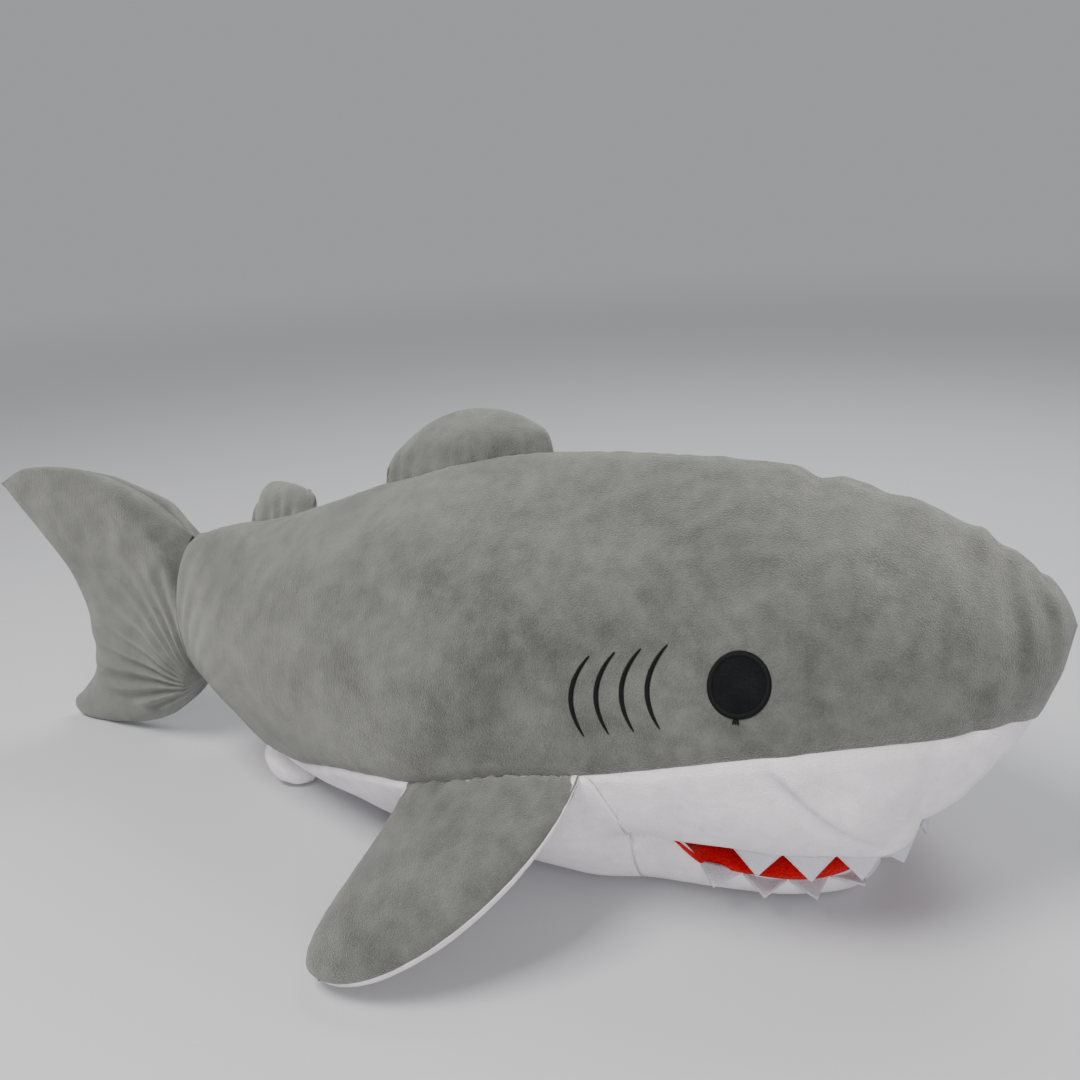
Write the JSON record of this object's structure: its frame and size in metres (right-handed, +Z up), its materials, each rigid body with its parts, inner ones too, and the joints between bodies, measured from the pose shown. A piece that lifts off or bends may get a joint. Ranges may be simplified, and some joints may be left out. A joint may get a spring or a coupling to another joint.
{
  "type": "plush shark",
  "caption": "Stuffed grey and white shark with felt teeth in a red-lined open mouth, stitched eyes and gills, and fins and tail that flop and spring back.",
  "frame": {"origin": "centre of the flat patch on the belly that rests on a surface, below the body's crest", "axes": "+X towards the nose, +Y towards the shark's left side, +Z up"},
  "size_m": [0.836, 0.4702, 0.2894],
  "materials": {
    "grey_plush": "short brushed pile, matte",
    "white_plush": "short brushed pile, matte",
    "red_lining": "smooth short-pile fabric",
    "white_felt": "pressed felt, cut edges",
    "eye_patch": "flat woven cloth, matte",
    "black_stitching": "satin stitch thread, soft sheen",
    "fibre_filling": "loose polyester fibre"
  },
  "bodies": {
    "trunk": {"back_panel_right": "grey_plush", "back_panel_left": "grey_plush", "belly_panel": "white_plush", "upper_jaw_panel": "white_plush", "palate_lining": "red_lining", "body_filling": "fibre_filling", "upper_teeth": "white_felt", "right_eye": "eye_patch", "left_eye": "eye_patch", "right_eye_rim": "black_stitching", "left_eye_rim": "black_stitching", "right_gill_stitches": "black_stitching", "left_gill_stitches": "black_stitching"},
    "lower_jaw": {"lower_jaw_panel": "white_plush", "lower_mouth_lining": "red_lining", "lower_jaw_filling": "fibre_filling", "lower_teeth": "white_felt"},
    "tail": {"tail_fin_right_face": "grey_plush", "tail_fin_left_face": "grey_plush", "tail_fin_filling": "fibre_filling"},
    "dorsal_fin": {"dorsal_fin_right_face": "grey_plush", "dorsal_fin_left_face": "grey_plush", "dorsal_fin_filling": "fibre_filling"},
    "second_dorsal_fin": {"second_dorsal_right_face": "grey_plush", "second_dorsal_left_face": "grey_plush", "second_dorsal_filling": "fibre_filling"},
    "right_pectoral_fin": {"right_pectoral_upper": "grey_plush", "right_pectoral_under": "white_plush", "right_pectoral_filling": "fibre_filling"},
    "left_pectoral_fin": {"left_pectoral_upper": "grey_plush", "left_pectoral_under": "white_plush", "left_pectoral_filling": "fibre_filling"},
    "right_pelvic_fin": {"right_pelvic_upper": "white_plush", "right_pelvic_under": "white_plush", "right_pelvic_filling": "fibre_filling"},
    "left_pelvic_fin": {"left_pelvic_upper": "white_plush", "left_pelvic_under": "white_plush", "left_pelvic_filling": "fibre_filling"}
  },
  "joints": [
    {"name": "tail_swing", "type": "hinge", "parent": "trunk", "child": "tail", "pos_m": [-0.35987, 0, 0.12], "axis": [0, 0, 1], "range_deg": [-30, 30], "stiffness_Nm_per_rad": 1.2},
    {"name": "jaw_open", "type": "hinge", "parent": "trunk", "child": "lower_jaw", "pos_m": [0.09725, 0, 0.03], "axis": [0, 1, 0], "range_deg": [0, 35], "stiffness_Nm_per_rad": 0.8},
    {"name": "dorsal_fin_lean", "type": "hinge", "parent": "trunk", "child": "dorsal_fin", "pos_m": [-0.07517, 0, 0.26349], "axis": [0.9773, 0, 0.2117], "range_deg": [0, 150], "stiffness_Nm_per_rad": 0.25},
    {"name": "second_dorsal_fin_lean", "type": "hinge", "parent": "trunk", "child": "second_dorsal_fin", "pos_m": [-0.23569, 0, 0.21371], "axis": [0.9594, 0, 0.282], "range_deg": [0, 150], "stiffness_Nm_per_rad": 0.1},
    {"name": "right_pectoral_flap", "type": "hinge", "parent": "trunk", "child": "right_pectoral_fin", "pos_m": [-0.01019, -0.1308, 0.09489], "axis": [-0.9685, 0.0694, -0.2393], "range_deg": [0, 60], "stiffness_Nm_per_rad": 0.5},
    {"name": "left_pectoral_flap", "type": "hinge", "parent": "trunk", "child": "left_pectoral_fin", "pos_m": [-0.01019, 0.1308, 0.09489], "axis": [0.9685, 0.0694, 0.2393], "range_deg": [0, 60], "stiffness_Nm_per_rad": 0.5},
    {"name": "right_pelvic_flap", "type": "hinge", "parent": "trunk", "child": "right_pelvic_fin", "pos_m": [-0.23155, -0.02227, 0.01449], "axis": [0.8874, 0, -0.4611], "range_deg": [0, 6], "stiffness_Nm_per_rad": 0.05},
    {"name": "left_pelvic_flap", "type": "hinge", "parent": "trunk", "child": "left_pelvic_fin", "pos_m": [-0.23155, 0.02227, 0.01449], "axis": [0.8874, 0, -0.4611], "range_deg": [-6, 0], "stiffness_Nm_per_rad": 0.05}
  ]
}
